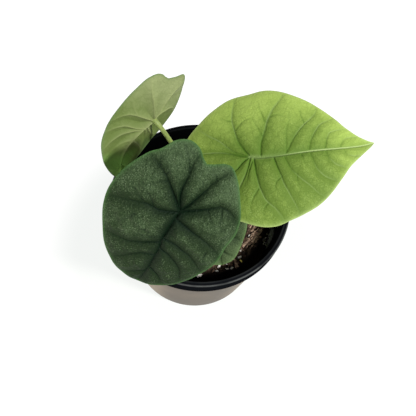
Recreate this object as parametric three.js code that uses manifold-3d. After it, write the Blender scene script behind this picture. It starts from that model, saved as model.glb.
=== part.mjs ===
// Potted alocasia melo: three large quilted leaves and one small one on fleshy stalks that rise from a
// corm, in loose soil, in a round nursery pot with a turned-down rim.
// Millimetres, +Z up. The origin is the middle of the pot's flat underside, and the rightmost leaf
// points to +X.
import * as THREE from "three";
import { mergeVertices } from "three/addons/utils/BufferGeometryUtils.js";
import Module from "manifold-3d";

// Pot: a 4.5 inch thermoformed pot, black inside and taupe outside
const POT_HEIGHT = 84;
const BASE_RADIUS = 44;
const RIM_RADIUS = 57;
const RIM_SKIRT = 11;
const RIM_LAND = 3;
const WALL = 1.2;
const FLOOR = 1.5;
const HOLE_COUNT = 8;
const HOLE_RADIUS = 4;
const HOLE_CIRCLE = 31;

// Soil: a root ball with a narrow moat between it and the wall
const CLEARANCE = 0.3;
const SOIL_TOP = 68;
const SOIL_DOME = 0.8;
const BALL_RADIUS = 44;
const MOAT_FLOOR = 47;
const CRUMB_COUNT = 150;

// Corm, on which the four stalks stand in a ring
const PLANT_CENTRE = [2, 10];
const CORM_TOP = 70;
const CORM_RADIUS = 8.8;
const STALK_CIRCLE = 5.2;
const STALK_SIDES = 10;
const STALK_STEPS = 14;

// Blade relief, from the midrib out to the margin
const RINGS = [0, 0.06, 0.2, 0.38, 0.56, 0.74, 0.9, 1];
const QUILT_STEPS = [0, 0.2, 0.5, 0.8];
const SOFT_FOLD = 5;
const MIDRIB_RIDGE = 1.2;
const VEIN_RIDGE = 0.5;
const MARGIN_WAVE = 0.6;
const MARGIN_WAVES = 3;

// Leaves. A blade is drawn flat, in u along the midrib from the stalk to the tip and w across it, to the
// left when seen from above. Its frame sits at the stalk: heading is its azimuth from +X, climb is its
// rise from level, and roll turns it about the midrib. bendRadius arches it along u, fold lifts each half
// as a slope, and crossRadius droops it across w. Each vein starts m along the midrib, ends at a given
// share of the way round each margin from the tip to the notch, and bows towards the notch.
// A stalk stands at its angle round the corm, sets off along lean, and comes up square to the blade over
// the length of approach. Its radius goes from foot to top.
const FRONT_LEAF = {
  name: "front",
  colour: 0x43604a,
  junction: [-8.5, -34.7, 134],
  heading: -118,
  climb: -46,
  roll: -29,
  bendRadius: 125,
  fold: 0.1,
  crossRadius: 125,
  thickness: 1,
  quilt: 1.2,
  midrib: [[0, 0], [20, 0], [40, 0.2], [58.6, 0.5]],
  notch: [-29, 1],
  left: [[56.3, 7.4], [52.4, 14], [46.5, 21.3], [37.6, 26.7], [26.1, 30.8], [17.5, 32.5], [9.3, 32.1],
    [0.5, 33.4], [-9.3, 31.2], [-19.3, 25.4], [-28.2, 19.3], [-32.9, 14], [-32.9, 9.5], [-30.7, 5.1]],
  right: [[56.3, -5.9], [51.5, -14.8], [45.9, -21.3], [37.1, -27.9], [25.2, -33.2], [13.5, -37.4],
    [2.4, -38.3], [-10.3, -35.1], [-21.6, -28.9], [-27, -23.3], [-33.6, -18.3], [-36.5, -11.9],
    [-35, -5.8], [-31.4, -2.1]],
  veins: [
    { m: 46, left: 0.09, right: 0.09, bow: 0.5 },
    { m: 29, left: 0.21, right: 0.17, bow: 2 },
    { m: 17, left: 0.31, right: 0.34, bow: 2 },
    { m: 4, left: 0.44, right: 0.49, bow: 1.5 },
    { m: 0, left: 0.56, right: 0.61, bow: 1 },
    { m: 0, left: 0.68, right: 0.73, bow: 2 },
    { m: 0, left: 0.86, right: 0.91, bow: 1 },
  ],
  stalk: { angle: 228, foot: 3, top: 1.6, lean: [0, 0, 42], approach: 36 },
};
const RIGHT_LEAF = {
  name: "right",
  colour: 0x9bbb58,
  junction: [24.4, 10.5, 126],
  heading: 18,
  climb: 12,
  roll: 10,
  bendRadius: 125,
  fold: 0.12,
  crossRadius: 100,
  thickness: 1,
  quilt: 0.8,
  midrib: [[0, 0], [7, -1.7], [19.1, -3.3], [35.1, -3.1], [54.2, -2.5], [70.2, -1.1], [82.1, 0.8]],
  notch: [-28.5, 0],
  left: [[75.2, 1.9], [67.8, 4.9], [60.8, 10.5], [55.3, 17], [44.6, 27], [34.1, 33.7], [25.6, 38.1],
    [17.1, 40.3], [8.2, 39.8], [-4, 39], [-15.4, 33.8], [-24.5, 27.8], [-33.8, 20.6], [-37.4, 13.4],
    [-35.8, 6.9], [-31.1, 2.7]],
  right: [[77.8, -2.1], [67.9, -8], [58.5, -14.1], [50.8, -21.1], [41.4, -29.2], [32.6, -34.8],
    [23, -38.2], [14.5, -40.2], [6.1, -41.6], [-3, -40], [-13.5, -34.9], [-23, -29], [-31.1, -21.3],
    [-36.4, -13.2], [-35.8, -6.7], [-31.6, -2.3]],
  veins: [
    { m: 60, left: 0.06, right: 0.1, bow: 0.5 },
    { m: 48, left: 0.13, right: 0.2, bow: 1.5 },
    { m: 34, left: 0.2, right: 0.28, bow: 2.5 },
    { m: 21, left: 0.28, right: 0.35, bow: 3 },
    { m: 8, left: 0.41, right: 0.46, bow: 3 },
    { m: 1, left: 0.51, right: 0.53, bow: 3.5 },
    { m: 0, left: 0.6, right: 0.64, bow: 3 },
    { m: 0, left: 0.79, right: 0.74, bow: 2 },
    { m: 0, left: 0.91, right: 0.92, bow: 0 },
  ],
  stalk: { angle: 20, foot: 3, top: 1.6, lean: [0, 0, 30], approach: 16 },
};
const BACK_LEAF = {
  name: "back",
  colour: 0x869b5c,
  junction: [-32.5, 13.5, 144],
  heading: -127,
  climb: -40,
  roll: 90,
  bendRadius: 125,
  fold: 0.3,
  crossRadius: 167,
  thickness: 1,
  quilt: 0.6,
  midrib: [[0, 0], [6, 2.9], [11, 4.2], [16.7, 7], [22.5, 8], [30.7, 6.2], [38.5, 1.5]],
  notch: [-24.3, 10.7],
  left: [[37.9, 4], [36.8, 7.4], [33.4, 13.5], [29.3, 18.9], [22.4, 23.9], [13.7, 26.1], [5.3, 27.7],
    [-2.7, 26.8], [-12.3, 23.6], [-19.5, 22.8], [-23.7, 20.7], [-25, 17.3], [-24.5, 13.8]],
  right: [[37.1, -3.9], [32.3, -8.4], [26.2, -10.9], [20.1, -14.4], [14, -20.3], [8.5, -26.7],
    [0.2, -27.5], [-9.6, -21.7], [-18, -15], [-22.7, -8.3], [-26.8, -0.9], [-30.6, 5.2], [-27.1, 8.1]],
  veins: [
    { m: 30, left: 0.14, right: 0.1, bow: 0.5 },
    { m: 15, left: 0.28, right: 0.21, bow: 2 },
    { m: 6, left: 0.41, right: 0.36, bow: 2 },
    { m: 0, left: 0.51, right: 0.53, bow: 2.5 },
    { m: 0, left: 0.68, right: 0.69, bow: 1.5 },
    { m: 0, left: 0.85, right: 0.86, bow: 1 },
  ],
  stalk: { angle: 135, foot: 2.2, top: 1.1, lean: [-12, 5, 20], approach: 14 },
};
const SMALL_LEAF = {
  name: "small",
  colour: 0x4a6b47,
  junction: [10.1, -12.9, 99],
  heading: -70,
  climb: -36,
  roll: 2,
  bendRadius: 200,
  fold: 0.1,
  crossRadius: 125,
  thickness: 0.9,
  quilt: 0.5,
  midrib: [[0, 0], [12, 0], [24, 0], [35.2, 0]],
  notch: [-14, 0],
  left: [[34.3, 2.8], [33, 6.4], [30.5, 9.3], [27, 11.7], [23, 13.9], [15, 17], [6, 18.8], [-3, 18.2],
    [-10, 16], [-15, 12], [-17.6, 6.7], [-16.3, 2.7]],
  right: [[34.3, -2.8], [33, -6.4], [30.5, -9.3], [27, -11.7], [23, -13.9], [15, -17], [6, -18.8],
    [-3, -18.2], [-10, -16], [-15, -12], [-17.6, -6.7], [-16.3, -2.7]],
  veins: [
    { m: 24, left: 0.13, right: 0.13, bow: 0.5 },
    { m: 14, left: 0.28, right: 0.28, bow: 1 },
    { m: 5, left: 0.46, right: 0.46, bow: 1 },
    { m: 0, left: 0.66, right: 0.66, bow: 1 },
    { m: 0, left: 0.84, right: 0.84, bow: 0.5 },
  ],
  stalk: { angle: 300, foot: 2, top: 1.2, lean: [0, 0, 10], approach: 9 },
};

// Perlite grains and bark chips half sunk in the soil: where they lie, their half length and their turn
const PERLITE = [
  [6, -42.6, 1.9, 20], [18.2, -35.1, 1.6, 70], [17.3, -38.6, 1.2, 10], [23.3, -35.8, 1.1, 0],
  [26.3, -34.9, 1.1, 45], [29.6, -17.3, 1.3, 15], [30.2, -22.8, 1.1, 60], [30.3, -27.2, 1.3, 30],
  [34.5, -11.6, 1.1, 80], [-20, 26, 1.5, 0], [8, 33, 1.3, 50], [-35, 4, 1.4, 20], [27, 24, 1.2, 65],
];
const BARK = [
  [39.2, -11.5, 6, 62], [33.4, -16.4, 4.5, 55], [28.3, -31.8, 3, 120], [-12, -36, 5, 15], [-30, 18, 5, 100],
  [14, -27, 4, 150],
];
const BARK_HALF_WIDTH = 1.1;

const rad = THREE.MathUtils.degToRad;
const wasm = await Module();
wasm.setup();

// A copy with positions only and its shared vertices merged
function bare(geometry) {
  const copy = geometry.clone();
  copy.deleteAttribute("normal");
  copy.deleteAttribute("uv");
  return mergeVertices(copy);
}

function toSolid(geometry) {
  const welded = bare(geometry);
  return new wasm.Manifold(new wasm.Mesh({
    numProp: 3,
    vertProperties: new Float32Array(welded.attributes.position.array),
    triVerts: new Uint32Array(welded.index.array),
  }));
}

function toGeometry(solid) {
  const mesh = solid.getMesh();
  const geometry = new THREE.BufferGeometry();
  geometry.setAttribute("position", new THREE.BufferAttribute(new Float32Array(mesh.vertProperties), 3));
  geometry.setIndex(new THREE.BufferAttribute(new Uint32Array(mesh.triVerts), 1));
  return geometry;
}

function piece(name, geometry, colour, roughness) {
  geometry.computeVertexNormals();
  const material = new THREE.MeshStandardMaterial({ color: colour, roughness, metalness: 0 });
  const mesh = new THREE.Mesh(geometry, material);
  mesh.name = name;
  return mesh;
}

// Seeded draws, so that every build is alike
function draws(seed) {
  let state = seed;
  return () => {
    state = (state * 1664525 + 1013904223) % 4294967296;
    return state / 4294967296;
  };
}

function lathe(profile, segments) {
  const points = profile.map(([r, z]) => new THREE.Vector2(r, z));
  return new THREE.LatheGeometry(points, segments).rotateX(Math.PI / 2);
}

// Pot. The wall leans out from the base to the rim, whose skirt hangs clear of it.
const wallTaper = (RIM_RADIUS - RIM_LAND - BASE_RADIUS) / (POT_HEIGHT - RIM_SKIRT);
const outerRadius = (z) => BASE_RADIUS + Math.min(z, POT_HEIGHT - RIM_SKIRT) * wallTaper;
const innerRadius = (z) => outerRadius(z) - WALL;

function potGeometry() {
  const skirtBottom = POT_HEIGHT - RIM_SKIRT;
  const landInner = RIM_RADIUS - RIM_LAND;
  const skirtInner = RIM_RADIUS - 1.1;
  const profile = [
    [0, 0], [BASE_RADIUS - 1.5, 0], [BASE_RADIUS, 1.5], [outerRadius(skirtBottom - 3), skirtBottom - 3],
    [landInner + 0.3, POT_HEIGHT - 3], [landInner + 1, POT_HEIGHT - 1.6],
    [skirtInner - 0.2, POT_HEIGHT - 1.8], [skirtInner - 0.7, skirtBottom + 0.6],
    [skirtInner, skirtBottom], [RIM_RADIUS - 0.5, skirtBottom + 0.4],
    [RIM_RADIUS, POT_HEIGHT - 1.2], [RIM_RADIUS - 0.6, POT_HEIGHT - 0.2], [RIM_RADIUS - 1.2, POT_HEIGHT],
    [landInner + 0.4, POT_HEIGHT], [landInner - 0.4, POT_HEIGHT - 0.6],
    [innerRadius(skirtBottom), skirtBottom - 2], [innerRadius(FLOOR + 1.2), FLOOR + 1.2],
    [innerRadius(FLOOR) - 1.4, FLOOR], [0, FLOOR],
  ];
  let pot = toSolid(lathe(profile, 64));
  for (let k = 0; k < HOLE_COUNT; k += 1) {
    const hole = new THREE.CylinderGeometry(HOLE_RADIUS, HOLE_RADIUS, 4 * FLOOR, 12).rotateX(Math.PI / 2);
    hole.translate(HOLE_CIRCLE, 0, FLOOR).rotateZ(rad((k + 0.5) * 360 / HOLE_COUNT));
    pot = pot.subtract(toSolid(hole));
  }
  return toGeometry(pot);
}

// Soil: a lathed ball whose top is raised in crumbs, each a low round mound at a seeded place
const draw = draws(7);
const crumbs = [];
for (let k = 0; k < CRUMB_COUNT; k += 1) {
  const reach = BALL_RADIUS * Math.sqrt(draw());
  const angle = 2 * Math.PI * draw();
  const [x, y] = [reach * Math.cos(angle), reach * Math.sin(angle)];
  crumbs.push({ x, y, r: 3 + 4 * draw(), h: 0.6 + draw() });
}

function soilHeight(x, y) {
  const dome = SOIL_DOME * (1 - (x * x + y * y) / 30 ** 2);
  const raised = crumbs.map((c) => c.h * Math.max(0, 1 - ((x - c.x) ** 2 + (y - c.y) ** 2) / c.r ** 2));
  return SOIL_TOP - SOIL_DOME + dome + Math.max(...raised);
}

function soilGeometry() {
  const bottom = FLOOR + CLEARANCE;
  const edge = (z) => innerRadius(z) - CLEARANCE;
  const profile = [
    [0, bottom], [innerRadius(FLOOR) - 2, bottom], [edge(bottom + 2), bottom + 2],
    [edge(MOAT_FLOOR) - 0.1, MOAT_FLOOR], [BALL_RADIUS + 2.5, MOAT_FLOOR - 0.6],
    [BALL_RADIUS + 0.6, MOAT_FLOOR + 2], [BALL_RADIUS + 0.2, SOIL_TOP - 10],
    [BALL_RADIUS - 0.6, SOIL_TOP - 3],
  ];
  for (const r of [43, 39, 34, 28, 22, 16, 10, 5, 0]) profile.push([r, SOIL_TOP]);
  const soil = bare(lathe(profile, 52));
  const place = soil.attributes.position;
  for (let i = 0; i < place.count; i += 1) {
    if (place.getZ(i) > SOIL_TOP - 1) place.setZ(i, soilHeight(place.getX(i), place.getY(i)));
  }
  return soil;
}

// Corm: a rounded swelling with a flat crown for the stalks
function cormGeometry(grow) {
  const r = CORM_RADIUS + grow;
  const low = CORM_TOP - 18 - grow;
  const high = CORM_TOP + 20 * grow;
  const profile = [
    [0, low], [r * 0.6, low + 0.8], [r * 0.92, low + 4], [r, low + 9], [r, high - 1], [r - 0.6, high],
    [0, high],
  ];
  return lathe(profile, 20).translate(PLANT_CENTRE[0], PLANT_CENTRE[1], 0);
}

function grainGeometry([x, y, size, turn], grow) {
  const grain = new THREE.IcosahedronGeometry(1, 0);
  grain.scale(size + grow, 0.75 * size + grow, 0.7 * size + grow);
  return grain.rotateZ(rad(turn)).translate(x, y, soilHeight(x, y));
}

function barkGeometry([x, y, half, turn], grow) {
  const side = 2 * (BARK_HALF_WIDTH + grow);
  const chip = new THREE.CylinderGeometry(0.7 * side / 2, side / 2, 2 * (half + grow), 6);
  return chip.rotateZ(Math.PI / 2).rotateZ(rad(turn)).translate(x, y, soilHeight(x, y));
}

// A blade's own axes: along the midrib, across to the left, and up out of its upper face
function bladeAxes({ heading, climb, roll }) {
  const [a, e, r] = [rad(heading), rad(climb), rad(roll)];
  const along = new THREE.Vector3(Math.cos(a) * Math.cos(e), Math.sin(a) * Math.cos(e), Math.sin(e));
  const level = new THREE.Vector3(-Math.sin(a), Math.cos(a), 0);
  const up = new THREE.Vector3().crossVectors(along, level);
  return {
    along,
    across: level.clone().multiplyScalar(Math.cos(r)).addScaledVector(up, Math.sin(r)),
    up: up.multiplyScalar(Math.cos(r)).addScaledVector(level, -Math.sin(r)),
  };
}

// The point of the blade at (u, w), lifted off its middle sheet
function bladePoint(leaf, axes, u, w, lift) {
  const turn = u / leaf.bendRadius;
  const rise = leaf.fold * (Math.hypot(w, SOFT_FOLD) - SOFT_FOLD) - w * w / (2 * leaf.crossRadius);
  const height = rise + lift;
  const ahead = leaf.bendRadius * Math.sin(turn) + height * Math.sin(turn);
  const above = leaf.bendRadius * (Math.cos(turn) - 1) + height * Math.cos(turn);
  return new THREE.Vector3(...leaf.junction).addScaledVector(axes.along, ahead)
    .addScaledVector(axes.across, w).addScaledVector(axes.up, above);
}

const flatCurve = (points) => new THREE.SplineCurve(points.map(([u, w]) => new THREE.Vector2(u, w)));

// The lines of one half of a blade, from the tip to the notch: one on each vein and some between two.
// share is 0 on a vein and runs to 1 at the next, and vein tells a real vein from the tip and notch.
function bladeLines(leaf, side) {
  const midrib = flatCurve(leaf.midrib);
  const tip = leaf.midrib[leaf.midrib.length - 1];
  const margin = flatCurve([tip, ...leaf[side], leaf.notch]);
  const stops = [{ m: tip[0], [side]: 0, bow: 0 }, ...leaf.veins, { m: 0, [side]: 1, bow: 0 }];
  const lines = [];
  for (let k = 0; k < stops.length; k += 1) {
    const [here, next] = [stops[k], stops[Math.min(k + 1, stops.length - 1)]];
    const steps = k < stops.length - 1 ? QUILT_STEPS : [0];
    for (const share of steps) {
      const m = THREE.MathUtils.lerp(here.m, next.m, share);
      const around = THREE.MathUtils.lerp(here[side], next[side], share);
      const start = midrib.getPointAt(m / tip[0]);
      const end = margin.getPointAt(around);
      const bow = THREE.MathUtils.lerp(here.bow, next.bow, share) * (side === "left" ? 1 : -1);
      const chord = end.clone().sub(start);
      const sideways = new THREE.Vector2(-chord.y, chord.x).normalize().multiplyScalar(2 * bow);
      const middle = start.clone().lerp(end, 0.5).add(sideways);
      const vein = share === 0 && k > 0 && k < stops.length - 1;
      lines.push({ curve: new THREE.QuadraticBezierCurve(start, middle, end), share, vein, m, around, k });
    }
  }
  return lines;
}

// Top and bottom faces share their triangles, and a strip closes the margin
function bladeGeometry(leaf) {
  const axes = bladeAxes(leaf);
  const found = new Map();
  const [tops, bottoms, faces] = [[], [], []];
  const tipAt = leaf.midrib[leaf.midrib.length - 1][0];
  const loops = {};
  for (const side of ["left", "right"]) {
    const lines = bladeLines(leaf, side);
    const grid = lines.map((line) => RINGS.map((t) => {
      const flat = line.curve.getPoint(t);
      const key = `${flat.x.toFixed(3)},${flat.y.toFixed(3)}`;
      if (!found.has(key)) {
        found.set(key, tops.length);
        const veinEnds = lines.filter((other) => other.share === 0).slice(line.k, line.k + 2);
        const [a, b] = veinEnds.map((other) => other.curve.getPoint(t));
        const gap = b ? a.distanceTo(b) : 0;
        const pillow = Math.sin(Math.PI * line.share) ** 0.7 * Math.min(1, gap / 12);
        const reach = Math.min(1, t / 0.15) * (1 - 0.7 * t ** 4);
        const wave = MARGIN_WAVE * t ** 3 * Math.sin(2 * Math.PI * MARGIN_WAVES * line.around);
        const lift = leaf.quilt * pillow * reach + wave;
        const half = leaf.thickness * (1 - 0.3 * t ** 4) / 2;
        const midRidge = MIDRIB_RIDGE * (1 - 0.75 * line.m / tipAt) * (1 - Math.min(1, t / 0.05));
        const ridge = midRidge + (line.vein ? VEIN_RIDGE * (1 - 0.8 * t) * Math.min(1, t / 0.05) : 0);
        tops.push(bladePoint(leaf, axes, flat.x, flat.y, lift + half));
        bottoms.push(bladePoint(leaf, axes, flat.x, flat.y, lift - half - ridge));
      }
      return found.get(key);
    }));
    loops[side] = grid.map((line) => line[line.length - 1]);
    for (let j = 0; j < grid.length - 1; j += 1) {
      for (let i = 0; i < RINGS.length - 1; i += 1) {
        const quad = [grid[j][i], grid[j][i + 1], grid[j + 1][i + 1], grid[j + 1][i]];
        if (side === "right") quad.reverse();
        faces.push([quad[0], quad[1], quad[2]], [quad[0], quad[2], quad[3]]);
      }
    }
  }
  const count = tops.length;
  const whole = faces.filter(([a, b, c]) => a !== b && b !== c && c !== a);
  const index = [];
  for (const [a, b, c] of whole) index.push(a, b, c, c + count, b + count, a + count);
  const loop = [...loops.left, ...loops.right.reverse().slice(1, -1)];
  loop.forEach((here, k) => {
    const next = loop[(k + 1) % loop.length];
    index.push(here, here + count, next + count, here, next + count, next);
  });
  const geometry = new THREE.BufferGeometry().setFromPoints([...tops, ...bottoms]);
  geometry.setIndex(index);
  return geometry;
}

// Stalk: a round stem that tapers upwards along a smooth path, from the corm's crown to just under the
// blade, which it meets square on. Its foot is cut level.
function stalkGeometry(leaf) {
  const { angle, foot, top, lean, approach } = leaf.stalk;
  const { up } = bladeAxes(leaf);
  const start = new THREE.Vector3(
    PLANT_CENTRE[0] + STALK_CIRCLE * Math.cos(rad(angle)),
    PLANT_CENTRE[1] + STALK_CIRCLE * Math.sin(rad(angle)),
    CORM_TOP + CLEARANCE,
  );
  const reach = leaf.thickness / 2 + MIDRIB_RIDGE + CLEARANCE;
  const end = new THREE.Vector3(...leaf.junction).addScaledVector(up, -reach);
  const path = new THREE.CubicBezierCurve3(
    start,
    start.clone().add(new THREE.Vector3(...lean)),
    end.clone().addScaledVector(up, -approach),
    end,
  );
  const frames = path.computeFrenetFrames(STALK_STEPS, false);
  const points = [];
  for (let i = 0; i <= STALK_STEPS; i += 1) {
    const centre = path.getPointAt(i / STALK_STEPS);
    const radius = THREE.MathUtils.lerp(foot, top, Math.sqrt(i / STALK_STEPS));
    for (let k = 0; k < STALK_SIDES; k += 1) {
      const around = 2 * Math.PI * k / STALK_SIDES;
      const point = centre.clone().addScaledVector(frames.normals[i], radius * Math.cos(around))
        .addScaledVector(frames.binormals[i], radius * Math.sin(around));
      if (i === 0) point.z = start.z;
      points.push(point);
    }
  }
  const index = [];
  for (let i = 0; i < STALK_STEPS; i += 1) {
    for (let k = 0; k < STALK_SIDES; k += 1) {
      const [a, b] = [i * STALK_SIDES + k, i * STALK_SIDES + (k + 1) % STALK_SIDES];
      index.push(a, b, b + STALK_SIDES, a, b + STALK_SIDES, a + STALK_SIDES);
    }
  }
  const last = STALK_STEPS * STALK_SIDES;
  for (let k = 1; k < STALK_SIDES - 1; k += 1) {
    index.push(0, k + 1, k, last, last + k, last + k + 1);
  }
  const geometry = new THREE.BufferGeometry().setFromPoints(points);
  geometry.setIndex(index);
  return geometry;
}

const plant = new THREE.Group();
plant.add(piece("pot", potGeometry(), 0x1b1c1f, 0.45));

let soil = toSolid(soilGeometry()).subtract(toSolid(cormGeometry(CLEARANCE)));
PERLITE.forEach((grain, k) => {
  soil = soil.subtract(toSolid(grainGeometry(grain, CLEARANCE)));
  plant.add(piece(`perlite_${k + 1}`, grainGeometry(grain, 0), 0xe6e2d6, 0.9));
});
BARK.forEach((chip, k) => {
  soil = soil.subtract(toSolid(barkGeometry(chip, CLEARANCE)));
  plant.add(piece(`bark_${k + 1}`, barkGeometry(chip, 0), 0x7d6149, 0.9));
});
plant.add(piece("soil", toGeometry(soil), 0x3d2c22, 0.95));
plant.add(piece("corm", cormGeometry(0), 0x8a7a58, 0.7));

for (const leaf of [FRONT_LEAF, RIGHT_LEAF, BACK_LEAF, SMALL_LEAF]) {
  plant.add(piece(`stalk_${leaf.name}`, stalkGeometry(leaf), 0x7fa350, 0.5));
  plant.add(piece(`blade_${leaf.name}`, bladeGeometry(leaf), leaf.colour, 0.45));
}

export default plant;
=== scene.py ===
"""A potted alocasia melo: quilted leaves on fleshy stalks, in soil in a round nursery pot."""

import math

import bmesh
import bpy
import numpy as np
from mathutils import Matrix, Vector, noise


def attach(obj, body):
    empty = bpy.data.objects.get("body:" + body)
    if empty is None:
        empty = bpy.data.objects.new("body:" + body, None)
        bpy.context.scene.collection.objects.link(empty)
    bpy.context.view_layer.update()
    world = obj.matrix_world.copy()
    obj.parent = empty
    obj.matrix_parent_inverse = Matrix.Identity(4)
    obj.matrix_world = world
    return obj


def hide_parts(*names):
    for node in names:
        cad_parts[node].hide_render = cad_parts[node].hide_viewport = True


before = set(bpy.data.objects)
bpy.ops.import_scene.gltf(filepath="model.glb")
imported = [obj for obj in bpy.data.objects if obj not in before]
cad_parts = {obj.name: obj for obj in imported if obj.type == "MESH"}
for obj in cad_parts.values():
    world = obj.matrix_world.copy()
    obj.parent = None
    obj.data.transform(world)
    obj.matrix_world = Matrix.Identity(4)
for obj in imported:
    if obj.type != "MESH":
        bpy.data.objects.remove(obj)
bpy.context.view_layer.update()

# The view
# The plant stands on a plain white table. The camera looks down on it from the front, turned a little. The
# main light stands at the right, a broad one fills in from the left, and a weak warm one lies low there.
FRAME_WIDTH = 416
FOCAL_LENGTH = 560
SENSOR_WIDTH = 36
LIGHT_AIM = Vector((0, 0, 0.1))
TABLE_SIZE = 4000
TABLE_DROP = 0.0002
camera_data = bpy.data.cameras.new("camera")
camera_data.sensor_width = SENSOR_WIDTH
camera_data.lens = SENSOR_WIDTH * FOCAL_LENGTH / FRAME_WIDTH
camera = bpy.data.objects.new("camera", camera_data)
camera.matrix_world = Matrix((
    (0.9871, -0.1599, 0.0, 0.0055),
    (0.1431, 0.8834, -0.4462, -0.1606),
    (0.0714, 0.4405, 0.8949, 0.3963),
    (0, 0, 0, 1),
))
bpy.context.scene.collection.objects.link(camera)
bpy.context.scene.camera = camera
bpy.context.scene.view_settings.view_transform = "Standard"

world = bpy.data.worlds.new("studio")
world.use_nodes = True
world.node_tree.nodes["Background"].inputs["Color"].default_value = (0.96, 0.98, 1, 1)
world.node_tree.nodes["Background"].inputs["Strength"].default_value = 0.45
bpy.context.scene.world = world

for name, place, size, power, colour in (
    ("key", (0.8, -0.357, 0.92), 0.15, 20, (1, 1, 1)),
    ("fill", (-0.9, -0.7, 0.45), 0.8, 5, (1, 1, 1)),
    ("low_fill", (-0.32, -0.25, 0.05), 0.1, 0.5, (1, 0.88, 0.76)),
):
    lamp = bpy.data.lights.new(name, "AREA")
    lamp.size = size
    lamp.energy = power
    lamp.color = colour
    light = bpy.data.objects.new(name, lamp)
    light.location = place
    light.rotation_euler = (LIGHT_AIM - Vector(place)).to_track_quat("-Z", "Y").to_euler()
    bpy.context.scene.collection.objects.link(light)


class Wire:
    """An output of a finish's nodes. Arithmetic on it adds Math nodes."""

    def __init__(self, tree, socket=None):
        self.tree = tree
        self.socket = socket

    def node(self, kind, settings, sockets, out=0):
        """Adds a node: its settings come first, then the values or wires of its sockets."""
        made = self.tree.nodes.new(kind)
        for setting, value in settings.items():
            setattr(made, setting, value)
        for name, value in sockets.items():
            if isinstance(value, Wire):
                self.tree.links.new(value.socket, made.inputs[name])
            else:
                made.inputs[name].default_value = value
        return Wire(self.tree, made.outputs[out])

    def maths(self, operation, *values):
        return self.node("ShaderNodeMath", {"operation": operation}, dict(enumerate(values)))

    def __add__(self, other):
        return self.maths("ADD", self, other)

    def __radd__(self, other):
        return self.maths("ADD", other, self)

    def __sub__(self, other):
        return self.maths("SUBTRACT", self, other)

    def __rsub__(self, other):
        return self.maths("SUBTRACT", other, self)

    def __mul__(self, other):
        return self.maths("MULTIPLY", self, other)

    def __rmul__(self, other):
        return self.maths("MULTIPLY", other, self)

    def between(self, low, high):
        """0 below low, 1 above high, and smooth between them."""
        return self.node("ShaderNodeMapRange", {"interpolation_type": "SMOOTHSTEP"},
                         {"Value": self, "From Min": low, "From Max": high})

    def mix(self, first, second):
        """The first colour where this is 0, the second where it is 1."""
        settings = {"data_type": "RGBA"}
        return self.node("ShaderNodeMix", settings, {0: self, 6: first, 7: second}, 2)

    def noise(self, scale, detail=3, roughness=0.5):
        """Cloudy noise on this wire's coordinates, with so many swells to the unit."""
        sockets = {"Vector": self, "Scale": scale, "Detail": detail, "Roughness": roughness}
        return self.node("ShaderNodeTexNoise", {}, sockets)

    def cells(self, scale, feature="F1"):
        """Rounded cells on this wire's coordinates, with so many to the unit."""
        return self.node("ShaderNodeTexVoronoi", {"feature": feature}, {"Vector": self, "Scale": scale})

    def stretched(self, scale, turn=0.0):
        """These coordinates turned about the vertical and scaled, for a pattern with a grain."""
        return self.node("ShaderNodeMapping", {}, {"Vector": self, "Scale": scale, "Rotation": (0, 0, turn)})

    def along(self, axis):
        """One of these three coordinates."""
        return self.node("ShaderNodeSeparateXYZ", {}, {"Vector": self}, axis)

    def from_axis(self):
        """How far these coordinates are from the pot's axis."""
        level = self.node("ShaderNodeVectorMath", {"operation": "MULTIPLY"}, {0: self, 1: (1, 1, 0)})
        return level.node("ShaderNodeVectorMath", {"operation": "LENGTH"}, {0: level}, "Value")

    def attribute(self, name):
        """A value that the mesh carries at its vertices."""
        return self.node("ShaderNodeAttribute", {"attribute_name": name}, {}, "Fac")


def new_finish(name):
    """A material with a bare surface, and a wire of Object coordinates to draw its pattern on."""
    finish = bpy.data.materials.new(name)
    finish.use_nodes = True
    coordinates = Wire(finish.node_tree).node("ShaderNodeTexCoord", {}, {}, "Object")
    return finish, coordinates


def dress(finish, relief=None, depth=0.0, **sockets):
    """Gives the surface its values and wires. relief is a height, worth depth metres from 0 to 1."""
    tree = finish.node_tree
    surface = tree.nodes["Principled BSDF"]
    for name, value in sockets.items():
        name = name.replace("_", " ")
        if isinstance(value, Wire):
            tree.links.new(value.socket, surface.inputs[name])
        else:
            surface.inputs[name].default_value = value
    if relief:
        bump = relief.node("ShaderNodeBump", {}, {"Height": relief, "Distance": depth, "Strength": 1})
        tree.links.new(bump.socket, surface.inputs["Normal"])


def new_piece(name, bm, *finishes):
    """The bmesh, drawn in millimetres, as a smooth piece in metres with its finishes."""
    bmesh.ops.scale(bm, vec=(0.001, 0.001, 0.001), verts=bm.verts)
    mesh = bpy.data.meshes.new(name)
    bm.to_mesh(mesh)
    bm.free()
    mesh.shade_smooth()
    for finish in finishes:
        mesh.materials.append(finish)
    piece = bpy.data.objects.new(name, mesh)
    bpy.context.scene.collection.objects.link(piece)
    return piece


floor_finish, at = new_finish("table_white")
# The table glows white, but dimmer within 85 to 125 mm of the pot's axis: painted shade round the pot.
glow_and_painted_shade = at.from_axis().between(0.085, 0.125).mix((0.82, 0.84, 0.83, 1), (1, 1, 1, 1))
dress(floor_finish, Base_Color=(0.13, 0.13, 0.12, 1), Roughness=0.7, Specular_IOR_Level=0,
      Emission_Color=glow_and_painted_shade, Emission_Strength=1)
bm = bmesh.new()
bmesh.ops.create_grid(bm, x_segments=1, y_segments=1, size=TABLE_SIZE)
floor = new_piece("floor", bm, floor_finish)
floor.location.z = -TABLE_DROP

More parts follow.
